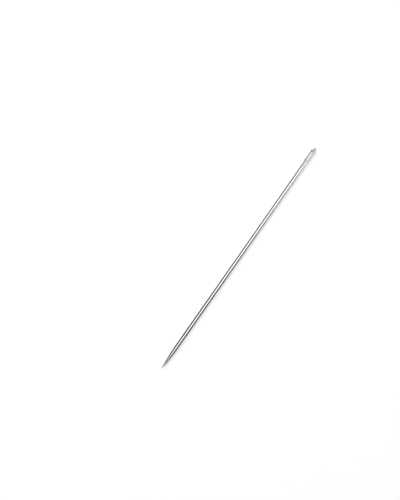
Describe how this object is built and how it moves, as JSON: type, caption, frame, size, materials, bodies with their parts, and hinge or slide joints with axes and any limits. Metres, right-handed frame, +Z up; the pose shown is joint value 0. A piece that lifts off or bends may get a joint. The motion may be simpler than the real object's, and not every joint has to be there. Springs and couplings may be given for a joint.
{
  "type": "hand sewing needle",
  "caption": "Straight round wire needle with a tapered sharp point at one end and a flattened head with a long slotted eye at the other.",
  "frame": {"origin": "on the surface that the needle lies on, under the middle of its length and width", "axes": "+X along the needle towards its head, -X towards its point, +Y across its head, +Z up through its eye"},
  "size_m": [0.064, 0.001, 0.0009],
  "materials": {
    "needle": "polished"
  },
  "bodies": {
    "root": {"needle": "needle"}
  },
  "joints": []
}
